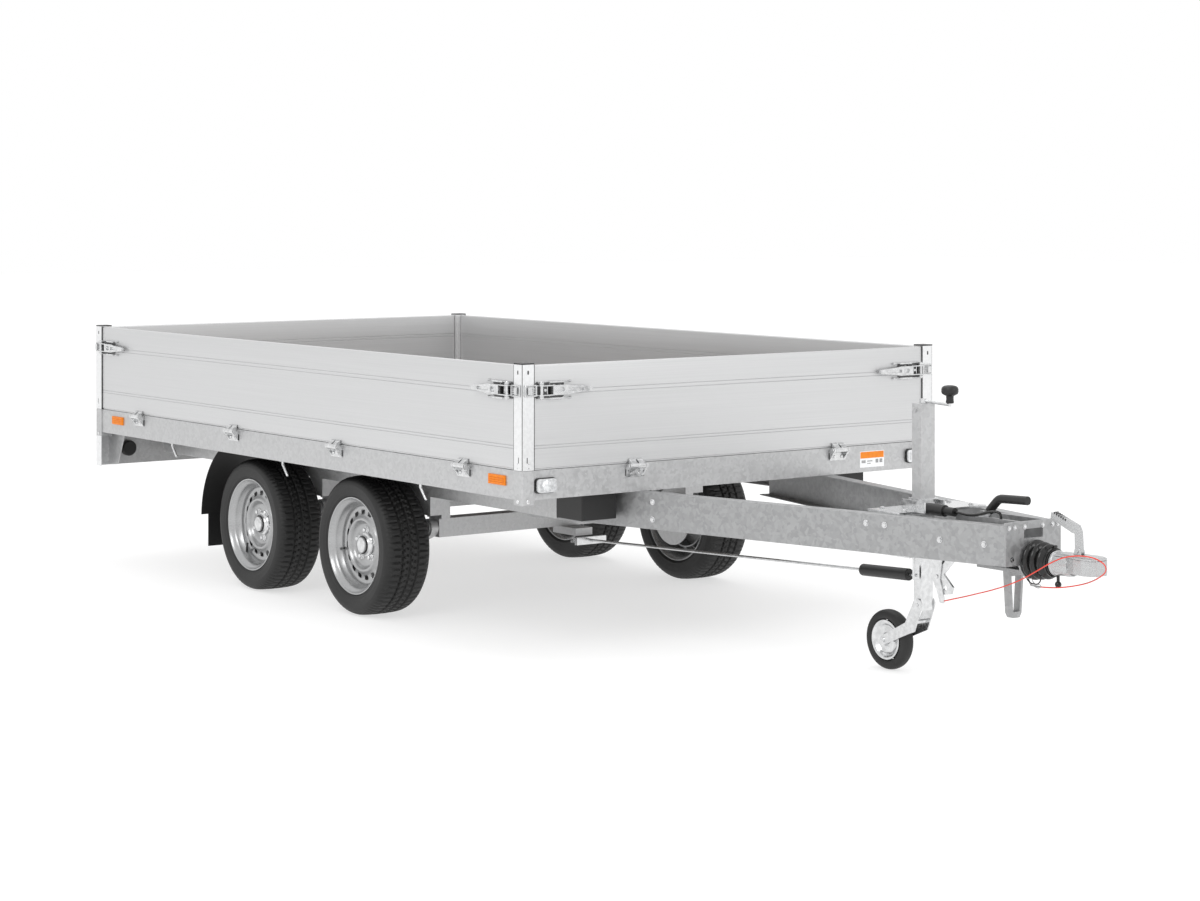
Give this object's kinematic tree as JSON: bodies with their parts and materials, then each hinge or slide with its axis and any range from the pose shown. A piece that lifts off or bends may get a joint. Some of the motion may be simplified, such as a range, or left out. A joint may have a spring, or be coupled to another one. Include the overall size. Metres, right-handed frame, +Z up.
{
  "type": "dropside trailer",
  "caption": "Tandem-axle dropside trailer: flat aluminium bed with folding boards, overrun-braked V drawbar, ball coupling, handbrake and crank-down jockey wheel.",
  "frame": {"origin": "ground level below the middle of the trailer, halfway between the coupling nose and the rearmost hinge, on the centre line", "axes": "+X forward to the coupling, +Y to the trailer's left, +Z up"},
  "size_m": [5.0457, 1.952, 1.016],
  "materials": {
    "galvanised_steel": "spangled hot-dip zinc, satin",
    "anodised_aluminium": "satin anodised",
    "bright_zinc": "bright zinc plate",
    "cast_zinc": "zinc-plated casting",
    "wheel_steel": "silver painted",
    "tyre_rubber": "matt",
    "black_rubber": "satin",
    "black_plastic": "fine grain",
    "floor_plywood": "film-faced, anti-slip print",
    "lamp_red": "gloss",
    "amber_lens": "gloss",
    "clear_lens": "gloss",
    "red_cable": "gloss"
  },
  "bodies": {
    "frame": {"frame_rails": "galvanised_steel", "chassis_beams": "galvanised_steel", "cross_members": "galvanised_steel", "floor_panel": "floor_plywood", "corner_posts": "bright_zinc", "post_caps": "black_plastic", "hinge_brackets": "bright_zinc", "drawbar_arms": "galvanised_steel", "overrun_housing": "cast_zinc", "bellows": "black_rubber", "jockey_pillar": "bright_zinc", "jockey_clamp": "bright_zinc", "axle_tubes": "galvanised_steel", "mudguards": "black_plastic", "rear_light_board": "galvanised_steel", "rear_lamps": "lamp_red", "side_reflectors": "amber_lens", "marker_lamps": "clear_lens", "trailer_plug": "black_plastic", "plug_cable": "black_rubber", "breakaway_cable": "red_cable", "wheel_chocks": "black_plastic", "rope_hooks": "bright_zinc"},
    "board_front": {"board_front": "anodised_aluminium"},
    "board_rear": {"board_rear": "anodised_aluminium"},
    "board_left": {"board_left": "anodised_aluminium"},
    "board_right": {"board_right": "anodised_aluminium"},
    "latch_lever_front_left": {"latch_lever_front_left": "bright_zinc"},
    "latch_lever_front_right": {"latch_lever_front_right": "bright_zinc"},
    "latch_lever_rear_left": {"latch_lever_rear_left": "bright_zinc"},
    "latch_lever_rear_right": {"latch_lever_rear_right": "bright_zinc"},
    "latch_lever_left_front": {"latch_lever_left_front": "bright_zinc"},
    "latch_lever_left_rear": {"latch_lever_left_rear": "bright_zinc"},
    "latch_lever_right_front": {"latch_lever_right_front": "bright_zinc"},
    "latch_lever_right_rear": {"latch_lever_right_rear": "bright_zinc"},
    "coupling": {"draw_tube": "bright_zinc", "coupling_head": "cast_zinc"},
    "coupling_handle": {"coupling_handle": "bright_zinc"},
    "handbrake": {"handbrake_lever": "bright_zinc", "handbrake_grip": "black_rubber"},
    "brake_linkage": {"brake_rod": "bright_zinc", "spring_cylinder": "black_plastic"},
    "jockey_leg": {"jockey_leg": "bright_zinc"},
    "jockey_fork": {"jockey_fork": "bright_zinc"},
    "jockey_wheel": {"jockey_rim": "bright_zinc", "jockey_tyre": "tyre_rubber"},
    "crank": {"crank_handle": "bright_zinc", "crank_knob": "black_plastic"},
    "arm_front_left": {"swing_arm_front_left": "galvanised_steel"},
    "wheel_front_left": {"wheel_front_left": "wheel_steel", "tyre_front_left": "tyre_rubber"},
    "arm_front_right": {"swing_arm_front_right": "galvanised_steel"},
    "wheel_front_right": {"wheel_front_right": "wheel_steel", "tyre_front_right": "tyre_rubber"},
    "arm_rear_left": {"swing_arm_rear_left": "galvanised_steel"},
    "wheel_rear_left": {"wheel_rear_left": "wheel_steel", "tyre_rear_left": "tyre_rubber"},
    "arm_rear_right": {"swing_arm_rear_right": "galvanised_steel"},
    "wheel_rear_right": {"wheel_rear_right": "wheel_steel", "tyre_rear_right": "tyre_rubber"}
  },
  "joints": [
    {"name": "board_right_fold", "type": "hinge", "parent": "frame", "child": "board_right", "pos_m": [-0.8535, -0.967, 0.645], "axis": [1, 0, 0], "range_deg": [0, 175]},
    {"name": "board_left_fold", "type": "hinge", "parent": "frame", "child": "board_left", "pos_m": [-0.8535, 0.967, 0.645], "axis": [-1, 0, 0], "range_deg": [0, 175]},
    {"name": "board_front_fold", "type": "hinge", "parent": "frame", "child": "board_front", "pos_m": [0.7835, 0, 0.645], "axis": [0, 1, 0], "range_deg": [0, 100]},
    {"name": "board_rear_fold", "type": "hinge", "parent": "frame", "child": "board_rear", "pos_m": [-2.4905, 0, 0.645], "axis": [0, -1, 0], "range_deg": [0, 150]},
    {"name": "latch_lever_front_left_turn", "type": "hinge", "parent": "board_front", "child": "latch_lever_front_left", "pos_m": [0.7785, 0.878, 0.9225], "axis": [0, 0, 1], "range_deg": [0, 135]},
    {"name": "latch_lever_front_right_turn", "type": "hinge", "parent": "board_front", "child": "latch_lever_front_right", "pos_m": [0.7785, -0.878, 0.9225], "axis": [0, 0, -1], "range_deg": [0, 135]},
    {"name": "latch_lever_rear_left_turn", "type": "hinge", "parent": "board_rear", "child": "latch_lever_rear_left", "pos_m": [-2.4855, 0.878, 0.9225], "axis": [0, 0, -1], "range_deg": [0, 135]},
    {"name": "latch_lever_rear_right_turn", "type": "hinge", "parent": "board_rear", "child": "latch_lever_rear_right", "pos_m": [-2.4855, -0.878, 0.9225], "axis": [0, 0, 1], "range_deg": [0, 135]},
    {"name": "latch_lever_left_front_turn", "type": "hinge", "parent": "board_left", "child": "latch_lever_left_front", "pos_m": [0.6945, 0.962, 0.9225], "axis": [0, 0, -1], "range_deg": [0, 135]},
    {"name": "latch_lever_left_rear_turn", "type": "hinge", "parent": "board_left", "child": "latch_lever_left_rear", "pos_m": [-2.4015, 0.962, 0.9225], "axis": [0, 0, 1], "range_deg": [0, 135]},
    {"name": "latch_lever_right_front_turn", "type": "hinge", "parent": "board_right", "child": "latch_lever_right_front", "pos_m": [0.6945, -0.962, 0.9225], "axis": [0, 0, 1], "range_deg": [0, 135]},
    {"name": "latch_lever_right_rear_turn", "type": "hinge", "parent": "board_right", "child": "latch_lever_right_rear", "pos_m": [-2.4015, -0.962, 0.9225], "axis": [0, 0, -1], "range_deg": [0, 135]},
    {"name": "overrun_slide", "type": "slide", "parent": "frame", "child": "coupling", "axis": [-1, 0, 0], "range_m": [0, 0.08], "deforming": ["bellows"]},
    {"name": "coupling_handle_lift", "type": "hinge", "parent": "coupling", "child": "coupling_handle", "pos_m": [2.4035, 0, 0.486], "axis": [0, 1, 0], "range_deg": [0, 40]},
    {"name": "handbrake_pull", "type": "hinge", "parent": "frame", "child": "handbrake", "pos_m": [1.8245, -0.04, 0.345], "axis": [0, -1, 0], "range_deg": [0, 45]},
    {"name": "brake_rod_pull", "type": "slide", "parent": "frame", "child": "brake_linkage", "axis": [0.9983, -0.0349, 0.0475], "range_m": [0, 0.025]},
    {"name": "jockey_leg_slide", "type": "slide", "parent": "frame", "child": "jockey_leg", "axis": [0, 0, 1], "range_m": [-0.14, 0.06]},
    {"name": "crank_turn", "type": "hinge", "parent": "frame", "child": "crank", "pos_m": [1.7125, 0, 0.906], "axis": [0, 0, 1], "range_deg": [-10080, 4320]},
    {"name": "jockey_fork_fold", "type": "hinge", "parent": "jockey_leg", "child": "jockey_fork", "pos_m": [1.7165, 0, 0.238], "axis": [0, 1, 0], "range_deg": [0, 75]},
    {"name": "jockey_wheel_roll", "type": "hinge", "parent": "jockey_fork", "child": "jockey_wheel", "pos_m": [1.5515, 0, 0.1], "axis": [0, 1, 0], "continuous": true},
    {"name": "suspension_front_left", "type": "hinge", "parent": "frame", "child": "arm_front_left", "pos_m": [-0.3055, 0.62, 0.33], "axis": [0, 1, 0], "range_deg": [-6, 12], "stiffness_Nm_per_rad": 3500, "springref_deg": -2.86},
    {"name": "wheel_front_left_roll", "type": "hinge", "parent": "arm_front_left", "child": "wheel_front_left", "pos_m": [-0.4705, 0.772, 0.2625], "axis": [0, 1, 0], "continuous": true},
    {"name": "suspension_front_right", "type": "hinge", "parent": "frame", "child": "arm_front_right", "pos_m": [-0.3055, -0.62, 0.33], "axis": [0, 1, 0], "range_deg": [-6, 12], "stiffness_Nm_per_rad": 3500, "springref_deg": -2.86},
    {"name": "wheel_front_right_roll", "type": "hinge", "parent": "arm_front_right", "child": "wheel_front_right", "pos_m": [-0.4705, -0.772, 0.2625], "axis": [0, 1, 0], "continuous": true},
    {"name": "suspension_rear_left", "type": "hinge", "parent": "frame", "child": "arm_rear_left", "pos_m": [-1.0955, 0.62, 0.33], "axis": [0, 1, 0], "range_deg": [-6, 12], "stiffness_Nm_per_rad": 3500, "springref_deg": -2.86},
    {"name": "wheel_rear_left_roll", "type": "hinge", "parent": "arm_rear_left", "child": "wheel_rear_left", "pos_m": [-1.2605, 0.772, 0.2625], "axis": [0, 1, 0], "continuous": true},
    {"name": "suspension_rear_right", "type": "hinge", "parent": "frame", "child": "arm_rear_right", "pos_m": [-1.0955, -0.62, 0.33], "axis": [0, 1, 0], "range_deg": [-6, 12], "stiffness_Nm_per_rad": 3500, "springref_deg": -2.86},
    {"name": "wheel_rear_right_roll", "type": "hinge", "parent": "arm_rear_right", "child": "wheel_rear_right", "pos_m": [-1.2605, -0.772, 0.2625], "axis": [0, 1, 0], "continuous": true}
  ],
  "couplings": [
    {"joint": "jockey_leg_slide", "follows": "crank_turn", "m_per_rad": 0.00079577},
    {"joint": "brake_rod_pull", "follows": "handbrake_pull", "m_per_rad": 0.03}
  ]
}
